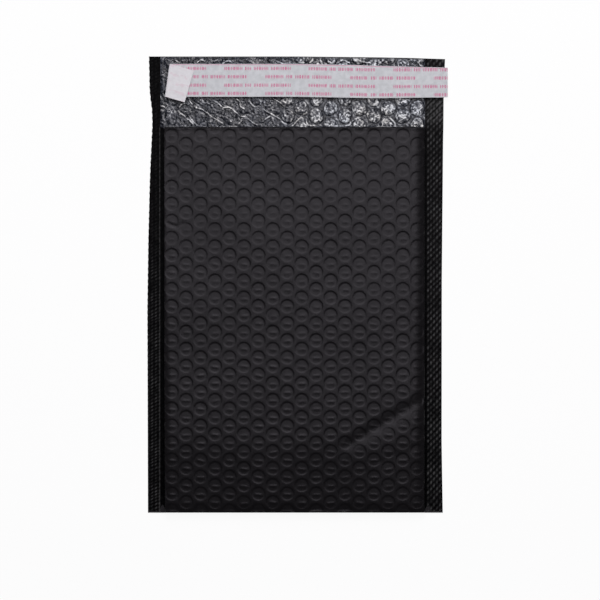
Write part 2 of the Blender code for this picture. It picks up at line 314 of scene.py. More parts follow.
def join(top, bottom, count):
    """Joins two plans with the same border of count places into one closed body."""
    (top_places, top_faces), (low_places, low_faces) = top, bottom
    start = len(top_places)
    verts = np.vstack([top_places, low_places])
    faces = list(top_faces)
    faces += [tuple(start + i for i in reversed(face)) for face in low_faces]
    for i in range(count):
        j = (i + 1) % count
        faces.append((j, i, start + i, start + j))
    return verts, faces


def add_object(name, data):
    thing = bpy.data.objects.new(name, data)
    bpy.context.scene.collection.objects.link(thing)
    return thing


def add_piece(name, verts, faces, material, node, sharp=50.0):
    """Makes a mesh of the used places in mm, and puts it in the frame."""
    used = np.unique(np.concatenate([np.array(face) for face in faces]))
    number = np.full(len(verts), -1)
    number[used] = np.arange(len(used))
    mesh = bpy.data.meshes.new(name)
    mesh.from_pydata((verts[used] * MM).tolist(), [],
                     [tuple(int(number[i]) for i in face) for face in faces])
    mesh.validate()
    mesh.shade_smooth()
    mesh.set_sharp_from_angle(angle=math.radians(sharp))
    mesh.materials.append(material)
    piece = add_object(name, mesh)
    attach(piece, "root")
    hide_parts(node)
    return piece


def nearest(x, y, centres):
    """Gives for each place its nearest centre's number and the offset from it."""
    number = np.empty(len(x), dtype=int)
    for start in range(0, len(x), 4000):
        part = slice(start, start + 4000)
        gap = (x[part, None] - centres[:, 0]) ** 2 + (y[part, None] - centres[:, 1]) ** 2
        number[part] = np.argmin(gap, axis=1)
    return number, x - centres[number, 0], y - centres[number, 1]


def lifted(plan, height):
    """Adds the height of a field to each place of a plan."""
    places, faces = plan
    flat = np.array(places)
    z = height(flat[:, 0], flat[:, 1])
    return np.column_stack([flat, z]), faces


def add_sheet(name, top, under, heights, material, node, sharp=50.0):
    """Makes a piece of two sheets with one border, lifted by a height each."""
    top_plan, low_plan = [lifted(sheet.plan(), height)
                          for sheet, height in zip((top, under), heights)]
    verts, faces = join(top_plan, low_plan, len(top.border))
    return add_piece(name, verts, faces, material, node, sharp)


def grid_points(low_x, high_x, low_y, high_y, step):
    """Gives places a step apart, each second row moved half a step."""
    points = []
    for j, y in enumerate(np.arange(low_y, high_y, step * 0.87)):
        points += [(x, y) for x in np.arange(low_x + (j % 2) * step / 2, high_x, step)]
    return points


def value_at(field, x, y):
    """The value of a field at one place."""
    return float(field(np.array([x]), np.array([y]))[0])


def close_grid(top, low, count, flip):
    """Joins two grids, one over the other and count places in a row, into a closed body."""
    size = len(top)
    starts = list(range(0, size, count))
    faces = [(a, a + 1, a + count + 1, a + count)
             for start in starts[:-1] for a in range(start, start + count - 1)]
    faces += [tuple(size + i for i in reversed(face)) for face in faces]
    ring = list(range(count)) + [start + count - 1 for start in starts[1:]]
    ring += list(range(size - 2, size - count - 1, -1)) + starts[-2:0:-1]
    faces += [(b, a, size + a, size + b) for a, b in zip(ring, ring[1:] + ring[:1])]
    if flip:
        faces = [face[::-1] for face in faces]
    return np.vstack([top, low]), faces


# Front panel

FRONT_CENTRES = lattice(FRONT_LEVEL, 135.6, 127.1, 23)
FRONT_DEPTH = RANDOM.uniform(0.8, 1.2, len(FRONT_CENTRES))
FRONT_RIDGE = RANDOM.uniform(0.85, 1.3, len(FRONT_CENTRES))
FRONT_TURN = RANDOM.normal(0.0, 0.08, len(FRONT_CENTRES))
FRONT_SHIFT = RANDOM.normal(0.0, 0.18, (len(FRONT_CENTRES), 2))
swell = waves(8, 45.0, 110.0)
ripple = waves(14, 3.0, 9.0)


def front_base(x, y, inset=0.0):
    """Height of the front panel without its bubbles."""
    low = ease((20 - y) / 90)
    left = shoulder(x - front_left(y) - inset, 0.5, 0.975 - 0.08 * low, 1.4 + 3.4 * low)
    right = shoulder(FRONT_RIGHT - inset - x, 0.45, 0.78 - 0.05 * low, 8.0)
    fold = shoulder(y - FOLD - inset, 0.6, 0.88, 8.0)
    run = np.maximum(SETTLE_START - y, 0.0)
    eased = np.where(run < SETTLE_EASE, run ** 2 / (2 * SETTLE_EASE), run - SETTLE_EASE / 2)
    full = FRONT_TOP - SEAM_LEVEL - SETTLE_SLOPE * eased
    return SEAM_LEVEL + full * left * right * fold


# Creases as the photograph shows them: start and end pixel, width above and below, depth in mm
CREASES = [((334, 454), (431, 394.5), 3.8, 4.6, 0.85),
           ((372, 466), (430, 440), 2.5, 3.5, 0.22),
           ((166, 222), (178, 228), 0.9, 0.8, 0.30),
           ((174, 228), (187, 221), 0.9, 0.8, 0.26),
           ((168.7, 128), (168.9, 205), 0.5, 0.5, 0.13)]


def crease_place(x, y, start, end):
    """Distance across a line, and how strong a crease along it is: it fades at its ends."""
    (x0, y0), (x1, y1) = start, end
    length = math.hypot(x1 - x0, y1 - y0)
    ux, uy = (x1 - x0) / length, (y1 - y0) / length
    along = ((x - x0) * ux + (y - y0) * uy) / length
    across = (y - y0) * ux - (x - x0) * uy
    return across, ease(along / 0.2) * ease((1 - along) / 0.1)


def crease_line(x, y, start, end, above, below, depth):
    """A valley pressed along a line, with its own width above and below the line."""
    across, share = crease_place(x, y, start, end)
    return -depth * share * bell(across / np.where(across > 0, above, below))


def dish(x, y):
    """The round recesses that the bubbles press into the front film."""
    number, dx, dy = nearest(x, y, FRONT_CENTRES)
    r = np.hypot(dx, dy)
    low = ease((106 - y) / 260)
    wall = ease((BUBBLE_RADIUS + 0.05 - r) / 0.95)
    tilt = 1 + (0.60 - 0.30 * low) * dy / BUBBLE_RADIUS
    depth = -0.235 * FRONT_DEPTH[number] * wall * (0.72 + 0.4 * low) * tilt
    lip = 0.02 * bell((r - BUBBLE_RADIUS - 0.2) / 0.45)
    turn = FRONT_TURN[number]
    sx = dx - 0.45 - FRONT_SHIFT[number, 0]
    sy = dy + 0.75 - FRONT_SHIFT[number, 1]
    across = sx * np.cos(turn) + sy * np.sin(turn)
    up = sy * np.cos(turn) - sx * np.sin(turn)
    ridge = bell(up / 0.78) * np.exp(-(across / (1.9 + 0.9 * low)) ** 4)
    ridge *= 0.165 * FRONT_RIDGE[number] * (0.66 + 0.76 * low)
    return depth + lip + ridge * ease((BUBBLE_RADIUS - r) / 1.5)


def pressed(x, y):
    """How far the creases and the hem lower the front panel: the hem curls up first."""
    hem = 2.0 * np.clip(1 - (MOUTH - y) / 0.9, 0, 1) ** 1.1
    hem -= 0.22 * ease(1 - (MOUTH - 0.7 - y) / 2.1)
    inner = ease((x - front_left(y) - 0.6) / 1.2) * ease((FRONT_RIGHT - 0.6 - x) / 1.6)
    total = 0.0
    for start, end, above, below, depth in CREASES:
        total = total + crease_line(x, y, seen(*start, CREASE_LEVEL),
                                    seen(*end, CREASE_LEVEL), above, below, depth)
    return (total - hem) * inner


def front_height(x, y):
    """Upper side of the front panel."""
    inner = ease((x - front_left(y) - 0.4) / 1.2) * ease((FRONT_RIGHT - 0.5 - x) / 1.4)
    inner *= ease((y - FOLD - 1.0) / 1.6) * ease((MOUTH - y) / 0.8)
    across, share = crease_place(x, y, *[seen(*end, CREASE_LEVEL) for end in CREASES[0][:2]])
    stretched = 1 - 0.6 * share * bell((across + 3.2) / 3.0)
    z = front_base(x, y) + pressed(x, y)
    return z + inner * (dish(x, y) * stretched + 0.10 * swell(x, y) + 0.012 * ripple(x, y))


def front_under(x, y):
    """Lower side of the front panel: thin at its edges."""
    edge = np.minimum(np.minimum(x - front_left(y), FRONT_RIGHT - x),
                      np.minimum(y - FOLD, MOUTH - y))
    thick = 0.25 + 0.5 * ease(edge / 2.5)
    return np.maximum(front_base(x, y, 0.2) + pressed(x, y) - thick, SEAM_LEVEL - 0.25)


def within_front(x, y, margin):
    return front_left(y) + margin < x < FRONT_RIGHT - margin


def make_front():
    border = rectangle(front_left, lambda y: FRONT_RIGHT, FOLD, MOUTH, 1.3)
    radii = [5.05, 4.75, 4.4, 4.0, 3.3, 2.4, 1.6, 0.8]
    top = Sheet(border, within_front, SEGMENTS, radii)
    for centre in FRONT_CENTRES:
        if centre[1] > FOLD - 4.0:
            top.add_bubble(centre)
    rows = np.arange(FOLD + 0.6, MOUTH, 1.2)
    for d in (0.2, 0.4, 0.5, 0.62, 0.9, 1.5, 2.3, 3.2):
        top.add_points([(front_left(y) + d, y) for y in rows])
    for d in (0.2, 0.38, 0.45, 0.6, 1.0, 1.8, 2.8):
        top.add_points([(FRONT_RIGHT - d, y) for y in rows])
    columns = np.arange(FRONT_RIGHT - 176, FRONT_RIGHT, 1.2)
    for d in (0.2, 0.45, 0.6, 0.8, 1.3, 2.0, 2.8):
        top.add_points([(x, FOLD + d) for x in columns])
    for d in (0.2, 0.45, 0.7, 0.9, 1.2):
        top.add_points([(x, MOUTH - d) for x in columns])
    top.add_grid(front_left(0) + 3.9, FRONT_RIGHT - 3.4, FOLD + 3.6, MOUTH - 1.9, 1.7)
    under = Sheet(border, within_front)
    under_rows = np.arange(FOLD + 0.8, MOUTH, 2.6)
    for d in (0.4, 0.7, 1.0, 2.0, 4.0):
        under.add_points([(front_left(y) + d, y) for y in under_rows])
        under.add_points([(FRONT_RIGHT - d, y) for y in under_rows])
    columns = np.arange(FRONT_RIGHT - 166, FRONT_RIGHT - 9, 6.0)
    for y in np.concatenate([FOLD + np.array([0.4, 0.9, 1.5, 3, 6, 10]),
                             np.arange(FOLD + 16, MOUTH - 2, 6)]):
        under.add_points([(x, y) for x in columns])
    add_sheet("film_front", top, under, (front_height, front_under), black_film, "outer_film")


# Materials

class Look:
    """A material's node tree, with short ways to add nodes to it."""

    def __init__(self, name):
        self.material = bpy.data.materials.new(name)
        self.material.use_nodes = True
        self.tree = self.material.node_tree
        self.shader = self.tree.nodes["Principled BSDF"]
        self.place = self.node("TexCoord").outputs["Object"]

    def put(self, socket, value):
        """Links a node's output to a socket, or sets a plain value on it."""
        if isinstance(value, bpy.types.NodeSocket):
            self.tree.links.new(value, socket)
        else:
            socket.default_value = value

    def feed(self, node, **inputs):
        for name, value in inputs.items():
            self.put(node.inputs[name.replace("_", " ")], value)
        return node

    def node(self, kind, **inputs):
        return self.feed(self.tree.nodes.new("ShaderNode" + kind), **inputs)

    def paint(self, **inputs):
        """Feeds the material's own shader."""
        self.feed(self.shader, **inputs)
        return self.material

    def noise(self, scale, detail=3.0):
        """A noise texture of a given scale per metre."""
        return self.node("TexNoise", Vector=self.place, Scale=scale, Detail=detail).outputs["Fac"]

    def ramp(self, value, stops):
        """Maps a value to colours at stops."""
        node = self.node("ValToRGB", Fac=value)
        elements = node.color_ramp.elements
        while len(elements) < len(stops):
            elements.new(0.5)
        for element, (position, colour) in zip(elements, stops):
            element.position = position
            element.color = (*colour, 1.0)
        return node.outputs["Color"]

    def spread(self, value, low, high, start=0.3, end=0.7):
        """Maps a value from start..end to low..high."""
        return self.node("MapRange", Value=value, From_Min=start, From_Max=end,
                         To_Min=low, To_Max=high).outputs["Result"]

    def bump(self, scale, detail, distance, strength, before=None):
        """A bump of noise with a height in metres, laid over another if one is given."""
        node = self.node("Bump", Strength=strength, Distance=distance,
                         Height=self.noise(scale, detail))
        if before:
            self.feed(node, Normal=before)
        return node.outputs["Normal"]

    def calc(self, operation, value, *others):
        """Combines two or more values, one after the other."""
        for other in others:
            node = self.node("Math")
            node.operation = operation
            self.put(node.inputs[0], value)
            self.put(node.inputs[1], other)
            value = node.outputs[0]
        return value

    def band(self, value, start, length, period=None):
        """1 where a value is within a length in mm from start, repeated if a period is given."""
        offset = self.calc("SUBTRACT", value, start * MM)
        if period:
            offset = self.calc("FLOORED_MODULO", offset, period * MM)
        return self.calc("MULTIPLY", self.calc("GREATER_THAN", offset, 0.0),
                         self.calc("LESS_THAN", offset, length * MM))

    def mix(self, share, first, second, blend="MIX"):
        """Mixes two colours."""
        node = self.node("Mix")
        node.data_type = "RGBA"
        node.blend_type = blend
        for number, value in ((0, share), (6, first), (7, second)):
            self.put(node.inputs[number], value)
        return node.outputs[2]

    def tone(self, scale, detail, low, high):
        """The tone that the mesh carries, with its painted light and shade, and with specks of
        noise.
        """
        node = self.node("Attribute")
        node.attribute_name = "tone"
        return self.calc("ADD", node.outputs["Fac"],
                         self.spread(self.noise(scale, detail), low, high))


def make_black_film():
    look = Look("black_film")
    stops = [(0.3, (0.0024, 0.0021, 0.0025)), (0.7, (0.0034, 0.0030, 0.0035))]
    grain = look.bump(2600.0, 2.0, 0.00002, 0.5)
    return look.paint(
        Base_Color=look.ramp(look.noise(40.0), stops),
        Roughness=look.spread(look.noise(260.0, 4.0), 0.39, 0.47),
        Normal=look.bump(420.0, 3.0, 0.00005, 0.6, grain),
        Specular_IOR_Level=0.21, Specular_Tint=(1.0, 0.965, 1.02, 1.0))


def make_crimped_film(name, specular, light):
    """The same film where it is welded: painted highlights make the roller's beads lighter than the
    gaps, which get painted shade.
    """
    look = Look(name)
    # Painted shade in the gaps, darker than the plain film, and painted highlights on the beads up
    # to the given light.
    stops = [(0.0, (0.0006, 0.0006, 0.0008)), (0.45, (0.25 * light,) * 3), (1.0, (light,) * 3)]
    return look.paint(
        Base_Color=look.ramp(look.tone(700.0, 3.0, -0.12, 0.12), stops),
        Roughness=look.spread(look.noise(300.0, 4.0), 0.31, 0.38),
        Normal=look.bump(1700.0, 3.0, 0.00003, 0.5),
        Specular_IOR_Level=specular)


def make_bubble_film():
    """Clear bubble film over black: glossy, hazy where the mesh says that it is creased, with
    painted highlights from the mesh's tone and painted glints along a net of crinkles.
    """
    look = Look("bubble_film")
    # A net of thin painted glints, standing in for light caught on crinkles, in patches.
    cells = look.node("TexVoronoi")
    cells.feature = "DISTANCE_TO_EDGE"
    look.feed(cells, Vector=look.place, Scale=330.0)
    crinkle_glint = look.spread(cells.outputs["Distance"], 0.18, 0.0, 0.0, 0.11)
    where = look.spread(look.noise(130.0), 0.0, 1.0, 0.45, 0.6)
    crinkle_glints = look.calc("MULTIPLY", crinkle_glint, where)
    haze_and_glints = look.calc("ADD", look.tone(800.0, 4.0, -0.24, 0.22), crinkle_glints)
    # From dark, where the black shows through, up to near-white painted highlights.
    stops = [(0.04, (0.004, 0.005, 0.008)), (0.28, (0.030, 0.033, 0.042)),
             (0.50, (0.105, 0.108, 0.118)), (0.75, (0.33, 0.335, 0.34)), (1.0, (0.72, 0.73, 0.73))]
    tints = [(0.38, (0.95, 0.985, 1.03)), (0.62, (1.03, 1.01, 0.965))]
    fine = look.bump(1700.0, 3.0, 0.00010, 0.8)
    return look.paint(
        Base_Color=look.mix(1.0, look.ramp(haze_and_glints, stops), look.ramp(look.noise(55.0, 1.0), tints),
                            "MULTIPLY"),
        Roughness=look.spread(look.noise(300.0), 0.12, 0.26),
        Normal=look.bump(600.0, 4.0, 0.0003, 0.9, fine),
        Specular_IOR_Level=0.3)


# Print on the liner, in mm: dashes by start and length, ticks by length and period
TAB_ANGLE = math.radians(8.1)
BAR_DASHES = ((0.0, 12.4), (14.2, 4.2), (20.2, 9.8), (31.8, 13.2))
TICKS = ((0.45, 1.17), (0.38, 1.93))
BAR_PERIOD = 57.2
BAR_ROWS = ((146.1, -106.5), (140.5, -78.8), (134.75, -106.5), (129.2, -78.8))
BAR_HEIGHT = 2.3
LINE_WIDTH = 0.4
INK = (0.48, 0.10, 0.21, 1.0)


def finish_paper(look, ink, pale, paler, smoothest, grain):
    """Coated paper of two pale tints, with ink by a share."""
    paper = look.ramp(look.noise(350.0, 5.0), [(0.35, pale), (0.65, paler)])
    return look.paint(
        Base_Color=look.mix(ink, paper, INK),
        Roughness=look.spread(look.noise(500.0), smoothest, 0.5),
        Normal=look.bump(grain, 4.0, 0.00003, 0.5))


def make_liner_paper():
    """The liner's outer side, with rows of plain pink bars."""
    look = Look("liner_paper")
    axes = look.node("SeparateXYZ", Vector=look.place).outputs
    x = axes["X"]
    y = look.calc("ADD", axes["Y"], look.spread(x, 0.0, LINER_SAG * MM, 0.0, 0.05))
    edge = look.calc("ADD", y, look.spread(x, 0.0, LINER_TAPER * MM, 0.04, 0.1))
    ticks = look.calc("MAXIMUM", *[look.band(x, 0.0, length, period) for length, period in TICKS])
    bars = [look.calc("MULTIPLY", look.band(edge, LINER_HIGH - 0.75, LINE_WIDTH), 0.8)]
    for row, start in BAR_ROWS:
        dashes = [look.band(x, start + first, length, BAR_PERIOD) for first, length in BAR_DASHES]
        across = look.calc("MAXIMUM", *dashes)
        up = look.band(y, row - BAR_HEIGHT / 2, BAR_HEIGHT)
        middle = look.band(y, row - LINE_WIDTH / 2, LINE_WIDTH)
        bars += [look.calc("MULTIPLY", across, ticks, up),
                 look.calc("MULTIPLY", across, middle, 0.5)]
    worn = look.spread(look.noise(1400.0, 3.0), 0.55, 1.0, 0.3, 0.5)
    return finish_paper(look, look.calc("MULTIPLY", look.calc("MAXIMUM", *bars), worn),
                        (0.43, 0.445, 0.455), (0.51, 0.525, 0.535), 0.38, 1200.0)


def make_tab_paper():
    """The liner's plain inner side, with its print showing faintly through the folded tab."""
    look = Look("liner_back")
    turned = look.node("Mapping", Vector=look.place, Rotation=(0, 0, 2 * TAB_ANGLE))
    axes = look.node("SeparateXYZ", Vector=turned.outputs["Vector"]).outputs
    rows = look.band(axes["Y"], 0.0, BAR_HEIGHT, BAR_ROWS[0][0] - BAR_ROWS[1][0])
    broken = look.spread(look.noise(420.0, 2.0), 0.0, 0.16, 0.45, 0.6)
    return finish_paper(look, look.calc("MULTIPLY", rows, broken),
                        (0.575, 0.57, 0.58), (0.625, 0.62, 0.63), 0.35, 900.0)


def make_glue():
    look = Look("hot_melt_glue")
    stops = [(0.3, (0.45, 0.40, 0.28)), (0.7, (0.58, 0.53, 0.40))]
    return look.paint(
        Base_Color=look.ramp(look.noise(150.0), stops),
        Roughness=look.spread(look.noise(700.0), 0.2, 0.4),
        Normal=look.bump(400.0, 3.0, 0.0001, 0.6))


black_film = make_black_film()
# Lit and shaded copies of one welded film: the right seal's beads are painted lighter than the
# left's, standing in for the light that falls from the right.
crimped_left_shaded = make_crimped_film("crimped_film_left_shaded", 0.015, 0.045)
crimped_right_lit = make_crimped_film("crimped_film_right_lit", 0.02, 0.062)
bubble_film = make_bubble_film()
liner_paper = make_liner_paper()
tab_paper = make_tab_paper()
glue = make_glue()


# Back panel with the flap

BACK_FIRST = -84.9
BACK_COLUMN_STEP = 9.78
BACK_ROW_STEP = 11.6
BACK_CENTRES = np.array([
    (BACK_FIRST + BACK_COLUMN_STEP * k, FLAP_END - 5.8 - BACK_ROW_STEP * j - 5.8 * (k % 2))
    for k in range(COLUMNS) for j in range(27)])
BACK_CRIMP = 4.15
FOLD_ROUND = 2.5
back_ripple = waves(12, 4.0, 14.0)


def back_under(x, y):
    """Lower side of the back film: bubbles pressed in, crimped sides, round at the fold."""
    number, dx, dy = nearest(x, y, BACK_CENTRES)
    r = np.hypot(dx, dy)
    inner = ease((x - GROOVE_LEFT) / 3) * ease((GROOVE_RIGHT - x) / 3)
    inner *= ease((y - FOLD) / 3)
    z = 0.02 + inner * 0.20 * ease((BUBBLE_RADIUS - r) / 1.1)
    z += inner * 0.02 * (1 + back_ripple(x, y) * 0.5)
    sides = np.maximum(ease(GROOVE_LEFT - x), ease(x - GROOVE_RIGHT))
    crimp = np.cos(math.tau * (x - GROOVE_LEFT) / BACK_CRIMP) * np.cos(math.tau * y / BACK_CRIMP)
    z += sides * 0.09 * (1 - crimp)
    past = 1 - np.clip((y - FOLD) / FOLD_ROUND, 0, 1)
    return z + SEAM_LEVEL * 0.75 * (1 - np.sqrt(np.clip(1 - past ** 2, 0, 1)))


def back_top(x, y):
    return BACK_TOP + 0.3 * (1 - np.clip((y - FOLD) / FOLD_ROUND, 0, 1)) ** 2 + 0 * x


def within_film(x, y, margin):
    """True for a place inside the film's outline by a margin."""
    return left_edge(y) + margin < x < right_edge(y) - margin and y < flap_end(x) - margin


def make_back():
    border = rectangle(left_edge, right_edge, FOLD, flap_end, 1.3)
    under = Sheet(border, within_film, 12, [5.0, 4.5, 3.8])
    for centre in BACK_CENTRES:
        if centre[1] > FOLD + 5.5:
            under.add_bubble(centre)
    for low_x, high_x in ((-100.6, GROOVE_LEFT), (GROOVE_RIGHT + 0.4, 97.0)):
        under.add_grid(low_x, high_x, FOLD + 0.6, FLAP_END - 2.5, 1.04)
    under.add_grid(GROOVE_LEFT + 1, GROOVE_RIGHT, FOLD + 0.5, FOLD + 2.8, 1.2)
    top = Sheet(border, within_film)
    top.add_grid(-97, 97, FOLD + 3, FLAP_END - 3, 12.0)
    add_sheet("film_back", top, under, (back_top, back_under), black_film, "outer_film")


# Welded seals

def make_seal(name, edge, inner, flip, height, material):
    """A crimped strip along one side, from its cut edge to the pocket's groove."""
    count = 34
    share = np.linspace(0, 1, count)
    rows = []
    for y in np.arange(FOLD, FLAP_END, 0.42):
        xs = edge(y) + share * (inner(y) - edge(y))
        rows.append(np.column_stack([xs, np.minimum(y, flap_end(xs))]))
    flat = np.vstack(rows)
    top = np.column_stack([flat, height(flat[:, 0], flat[:, 1])])
    low = np.column_stack([flat, np.full(len(flat), SEAL_UNDER)])
    verts, faces = close_grid(top, low, count, flip)
    return add_piece(name, verts, faces, material, "outer_film")


seal_wave = waves(8, 9.0, 40.0)
seal_patch = waves(8, 5.0, 30.0)


def beads(x, y, start, step, pitch, angle, along, across):
    """Beads pressed by the sealing roller: columns a step apart, each second one shifted."""
    total = np.zeros_like(x)
    column = np.round((x - start) / step)
    for side in (-1, 0, 1):
        dx = x - start - (column + side) * step
        shift = ((column + side) % 2) * pitch / 2
        row = np.round((y - shift) / pitch)
        for up in (-1, 0, 1):
            dy = y - shift - (row + up) * pitch
            u = (dx * math.cos(angle) + dy * math.sin(angle)) / along
            v = (dy * math.cos(angle) - dx * math.sin(angle)) / across
            total += np.exp(-u * u - v * v)
    return np.clip(total, 0, 1)


def left_seal_marks(x, y):
    """Strokes that rise to the right, fainter on the upper half."""
    wave = 0.25 * seal_wave(x, y)
    marks = beads(x, y + wave, -98.3, 2.62, 2.25, math.radians(42), 1.1, 0.46)
    low = ease((70 - y) / 110)
    inside = ease((x - left_edge(y) - 0.3) / 0.6) * ease((-92.9 - x) / 0.5)
    return marks * inside * (0.32 + 0.68 * low) * (0.9 + 0.25 * seal_patch(x, y))


def left_seal_height(x, y):
    """Pressed strokes, with a thin bead along the inner edge."""
    pocket = ease((MOUTH + 3 - y) / 4)
    bead = bell((x + 93.2) / 0.32) * (0.16 + 0.06 * np.cos(math.tau * y / CRIMP_PITCH))
    return SEAL_TOP + 0.12 * left_seal_marks(x, y) + pocket * bead


# Painted highlights on the strokes and on the dotted bead along the inner edge, painted shade
# between them.
def left_seal_painted_light(x, y):
    dots = 0.55 + 0.45 * np.cos(math.tau * y / CRIMP_PITCH)
    bead = bell((x + 93.1) / 0.4) * ease((MOUTH + 3 - y) / 4) * (0.55 + 0.4 * dots)
    return np.clip(left_seal_marks(x, y) + bead, 0, 1)


def right_seal_marks(x, y):
    wave = 0.25 * seal_wave(x, y)
    marks = beads(x, y + wave, 89.0, 2.02, 4.27, math.radians(74), 1.25, 0.62)
    inside = ease((right_edge(y) - x) / 0.8) * ease((x - 87.9) / 0.7)
    return marks * inside * np.clip(0.85 + 0.18 * seal_patch(x, y), 0.3, 1.2)


def right_seal_height(x, y):
    return SEAL_TOP + 0.16 * right_seal_marks(x, y)


def right_seal_painted_light(x, y):
    """Painted highlights on the seal's beads, paler on the flap, with painted light and shade of
    slanted wrinkles there.
    """
    flap = ease((y - MOUTH - 0.5) / 6) * (1 - 0.8 * ease((y - LINER_LOW) / 12))
    wrinkle = 0.5 + 0.5 * np.cos(math.tau * (0.64 * x - 0.77 * y) / 1.9 + seal_patch(x, y))
    return np.clip(right_seal_marks(x, y) * (1 + 0.5 * flap) + 0.45 * flap * wrinkle, 0, 1)


def add_tone(piece, field):
    """Stores a field of tone and painted light on the mesh's points, for the material to read."""
    flat = np.empty(len(piece.data.vertices) * 3)
    piece.data.vertices.foreach_get("co", flat)
    flat = flat.reshape(-1, 3) / MM
    tone = piece.data.attributes.new("tone", "FLOAT", "POINT")
    tone.data.foreach_set("value", field(flat[:, 0], flat[:, 1]).astype(np.float32))


# Lining

FLAP_CENTRES = lattice(FLAP_LEVEL, 64.7, 56.9, 9)
flap_swell = waves(8, 18.0, 60.0)
drift_x = waves(8, 6.0, 20.0)
drift_y = waves(8, 6.0, 20.0)
patches = waves(10, 6.0, 20.0)
mottle = waves(16, 2.0, 7.0)
streaks = waves(14, 1.3, 3.0, math.radians(50), 1.2)
flap_fine = creases(9, 1.1, 3.4, math.radians(50), 3.1, 0.3)
crumple = creases(7, 1.8, 4.5, 0.4, 3.1, 0.35)
facets = creases(7, 2.0, 4.6, 1.2, 3.1, 0.35)
FLAP_GLINT = RANDOM.uniform(0.0, 1.0, len(FLAP_CENTRES))
FLAP_SIZE = RANDOM.uniform(4.7, 5.3, len(FLAP_CENTRES))
FLAP_TURNS = RANDOM.uniform(0.0, math.tau, (len(FLAP_CENTRES), 2))
RING_RADII = (3.6, 4.0, 4.4, 4.8, 5.2, 5.6)
# Folds of the crinkled film as the photograph shows them: strength, then the pixels passed
FOLDS = """
0.9 188,99 195,106.5 203.3,109.8 211.7,116.5 220.8,121.9 224.5,126
0.9 213,99.5 219.2,104 222.9,107.3 229,107.2 235.8,111.9 240,116.1 245.8,116.5 253.3,122.8 260,125.6
0.8 248,99 253.3,105.7 260,107.3 270.8,113.6 280,119 284,123 291,125.4
0.7 271,97 280,102.3 285,106.5 291,108.6
0.6 176,109 185,116.5 190,120.7 195,126
0.8 188,114.5 193.3,121.5 198.3,126.5
0.6 221,116 223.5,111 222.6,107.8
0.5 206,120 208.8,116 207.2,113
0.7 262,122 266.7,117.8 272,115.6
0.5 167,118 171,113 174.5,105
0.5 152.5,117 160,121 166,126
0.5 160,105 166,108 170,114
0.6 178.5,108 182.5,103.5 188,103
0.5 199,98.5 203,102 209,103.5 214,108
0.5 214,121 221,116 228,118 233,124
0.6 235,98 239.5,101 240.5,106 246,110
0.5 238,124.5 243,119.5 248,118
0.6 258,98 260.8,101.5 260,105
0.5 272,104 267,106 263,103.5
0.8 285,125.4 292.5,125.4 296,121.5 300.8,117.4 306,119.4 309,125 321.7,125.4
0.9 336,125.6 348,125.2 351.7,121.5 359.2,117.3 365,120 369,125
0.9 379,125 383,119.5 388.3,116.9 392.5,119.8 396,125.6
0.6 172,58.3 178.3,61.7 185,64
0.8 194,64.5 201.7,60 208,64.5
0.7 221,64 228.3,60.6 234,64
0.5 238,58.6 246,59.4 254,62.5
0.7 276,61 284,63.4 291,62
0.9 308,63.5 316.7,57.8 325,63.5
0.8 335,64 343.3,60 351,64
0.8 354,58 363,61.7 374,63
0.9 379,64 386,58.4 391,64
0.7 399,58.6 407,64
0.8 413,59 418,62 422,67
"""


def smooth_path(points, step=0.3):
    """Places a step apart on a smooth curve through the points, with how far along they are."""
    points = np.array([seen(*point, FLAP_LEVEL) for point in points])
    points = np.vstack([2 * points[0] - points[1], points, 2 * points[-1] - points[-2]])
    places = []
    for a, b, c, d in zip(points, points[1:], points[2:], points[3:]):
        count = max(2, int(np.hypot(*(c - b)) / step))
        for u in np.arange(count) / count:
            places.append(0.5 * (2 * b + (c - a) * u + (2 * a - 5 * b + 4 * c - d) * u ** 2
                                 + (3 * b - a - 3 * c + d) * u ** 3))
    return np.array(places), np.linspace(0, 1, len(places))


def fold_places():
    """All folds' places, directions across, and strengths, which fade at the ends."""
    places, across, strength = [], [], []
    for line in FOLDS.split("\n")[1:-1]:
        share, *points = line.split()
        path, along = smooth_path([map(float, point.split(",")) for point in points])
        way = np.gradient(path, axis=0)
        way /= np.hypot(way[:, 0], way[:, 1])[:, None]
        places.append(path)
        across.append(np.column_stack([-way[:, 1], way[:, 0]]))
        strength.append(float(share) * ease(along / 0.12) * ease((1 - along) / 0.12))
    return np.vstack(places), np.vstack(across), np.concatenate(strength)


FOLD_PLACES, FOLD_ACROSS, FOLD_STRENGTH = fold_places()


def bubble_shape(number, angle):
    """How much wider than a circle a bubble is at an angle: none is quite round."""
    return (1 + 0.06 * np.cos(2 * angle + FLAP_TURNS[number, 0])
            + 0.035 * np.cos(3 * angle + FLAP_TURNS[number, 1]))


def lining_left(y):
    """The x of the lining's left side, which steps in where the pocket covers it."""
    return np.interp(y, [MOUTH - 1.5, MOUTH + 0.5], [LINING_LEFT + 4.0, LINING_LEFT])


def lining_right(y):
    return np.interp(y, [MOUTH - 1.5, MOUTH + 0.5], [LINING_RIGHT - 2.5, LINING_RIGHT])


def flap_marks(x, y):
    """Where the bubble film's domes, rims, folds and crumpled tops are."""
    right = ease((x + 22) / 36)
    wx = x + 0.75 * (1 - right) * drift_x(x, y)
    wy = y + 0.75 * (1 - right) * drift_y(x, y)
    number, dx, dy = nearest(wx, wy, FLAP_CENTRES)
    shape = bubble_shape(number, np.arctan2(dy, dx))
    r = np.hypot(dx, dy) / (FLAP_SIZE[number] * shape) * BUBBLE_RADIUS
    marks = SimpleNamespace(right=right, dy=dy, bright=FLAP_GLINT[number])
    marks.dome = ease((BUBBLE_RADIUS - r) / 1.5)
    marks.rim = bell((r - 4.3) / 0.42)
    marks.gap = bell((r - 5.15) / 0.45)
    fold, dx, dy = nearest(x, y, FOLD_PLACES)
    side = np.sign(dx * FOLD_ACROSS[fold, 0] + dy * FOLD_ACROSS[fold, 1])
    marks.fold = side * np.hypot(dx, dy)
    marks.fold_share = FOLD_STRENGTH[fold] * np.clip(0.95 + 0.25 * patches(y, x), 0.6, 1.2)
    return marks


